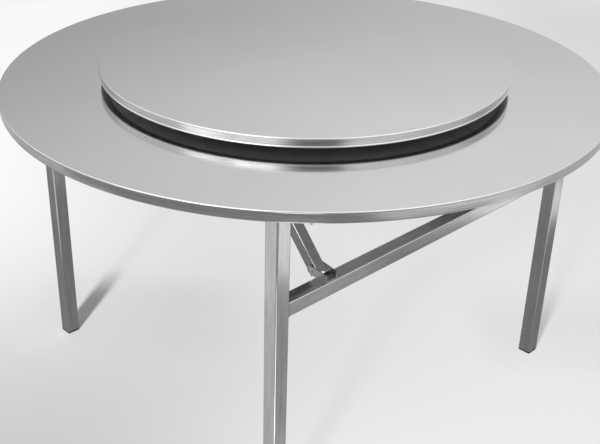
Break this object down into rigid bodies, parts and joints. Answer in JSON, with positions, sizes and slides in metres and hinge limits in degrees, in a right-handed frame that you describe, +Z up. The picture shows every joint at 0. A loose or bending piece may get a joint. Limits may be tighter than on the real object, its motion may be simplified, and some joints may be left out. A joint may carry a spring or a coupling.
{
  "type": "dining table with lazy susan",
  "caption": "Round stainless steel dining table with a ball-bearing lazy susan on its top and two H-shaped leg frames with sloping stays that fold flat underneath.",
  "frame": {"origin": "on the floor under the centre of the round top, at the bottom centre of the bounding box", "axes": "+Z up along the lazy susan's spin axis; X along the crossbars and fold axes; leg frame A on the -Y side, leg frame B on the +Y side"},
  "size_m": [1.3996, 1.3998, 0.7961],
  "materials": {
    "satin_steel_sheet": "satin, fine even brushing",
    "steel_tube": "bright, drawn along the tube",
    "bent_steel_plate": "satin",
    "ball_steel": "polished",
    "aluminium_ring": "turned",
    "plywood": "film-faced, dark grey",
    "black_plastic": "moulded",
    "white_nylon": "moulded",
    "black_rubber": "matt"
  },
  "bodies": {
    "table": {"hinge_bracket_a_left": "bent_steel_plate", "hinge_bracket_a_right": "bent_steel_plate", "hinge_bracket_b_left": "bent_steel_plate", "hinge_bracket_b_right": "bent_steel_plate", "stay_channel_a_left": "bent_steel_plate", "stay_channel_a_right": "bent_steel_plate", "stay_channel_b_left": "bent_steel_plate", "stay_channel_b_right": "bent_steel_plate", "susan_base_ring": "aluminium_ring", "susan_rubber_pads": "black_rubber", "table_top_lining": "plywood", "table_top_skin": "satin_steel_sheet"},
    "susan": {"susan_lining": "plywood", "susan_skin": "satin_steel_sheet", "susan_top_ring": "aluminium_ring"},
    "ball_cage": {"susan_ball_cage": "white_nylon", "susan_balls": "ball_steel"},
    "leg_frame_a": {"crossbar_a": "steel_tube", "foot_pad_a_left": "black_plastic", "foot_pad_a_right": "black_plastic", "leg_a_left": "steel_tube", "leg_a_right": "steel_tube", "stay_clevis_a_left": "bent_steel_plate", "stay_clevis_a_right": "bent_steel_plate"},
    "leg_frame_b": {"crossbar_b": "steel_tube", "foot_pad_b_left": "black_plastic", "foot_pad_b_right": "black_plastic", "leg_b_left": "steel_tube", "leg_b_right": "steel_tube", "stay_clevis_b_left": "bent_steel_plate", "stay_clevis_b_right": "bent_steel_plate"},
    "stay_a_left": {"stay_a_left": "steel_tube", "stay_glide_a_left": "white_nylon"},
    "stay_a_right": {"stay_a_right": "steel_tube", "stay_glide_a_right": "white_nylon"},
    "stay_b_left": {"stay_b_left": "steel_tube", "stay_glide_b_left": "white_nylon"},
    "stay_b_right": {"stay_b_right": "steel_tube", "stay_glide_b_right": "white_nylon"}
  },
  "joints": [
    {"name": "leg_frame_a_fold", "type": "hinge", "parent": "table", "child": "leg_frame_a", "pos_m": [0, -0.4445, 0.7], "axis": [1, 0, 0], "range_deg": [0, 90]},
    {"name": "leg_frame_b_fold", "type": "hinge", "parent": "table", "child": "leg_frame_b", "pos_m": [0, 0.4445, 0.7], "axis": [-1, 0, 0], "range_deg": [0, 90]},
    {"name": "susan_spin", "type": "hinge", "parent": "table", "child": "susan", "pos_m": [0, 0, 0.7641], "axis": [0, 0, 1], "continuous": true},
    {"name": "ball_cage_spin", "type": "hinge", "parent": "table", "child": "ball_cage", "pos_m": [0, 0, 0.7641], "axis": [0, 0, 1], "continuous": true},
    {"name": "stay_a_left_swing", "type": "hinge", "parent": "leg_frame_a", "child": "stay_a_left", "pos_m": [-0.368, -0.4155, 0.557], "axis": [1, 0, 0], "range_deg": [-138, 0]},
    {"name": "stay_a_right_swing", "type": "hinge", "parent": "leg_frame_a", "child": "stay_a_right", "pos_m": [0.292, -0.4155, 0.557], "axis": [1, 0, 0], "range_deg": [-138, 0]},
    {"name": "stay_b_left_swing", "type": "hinge", "parent": "leg_frame_b", "child": "stay_b_left", "pos_m": [-0.292, 0.4155, 0.557], "axis": [-1, 0, 0], "range_deg": [-138, 0]},
    {"name": "stay_b_right_swing", "type": "hinge", "parent": "leg_frame_b", "child": "stay_b_right", "pos_m": [0.368, 0.4155, 0.557], "axis": [-1, 0, 0], "range_deg": [-138, 0]}
  ],
  "couplings": [
    {"joint": "ball_cage_spin", "follows": "susan_spin", "ratio": 0.49293},
    {"joint": "stay_a_left_swing", "follows": "leg_frame_a_fold", "ratio": -1.5333},
    {"joint": "stay_a_right_swing", "follows": "leg_frame_a_fold", "ratio": -1.5333},
    {"joint": "stay_b_left_swing", "follows": "leg_frame_b_fold", "ratio": -1.5333},
    {"joint": "stay_b_right_swing", "follows": "leg_frame_b_fold", "ratio": -1.5333}
  ]
}
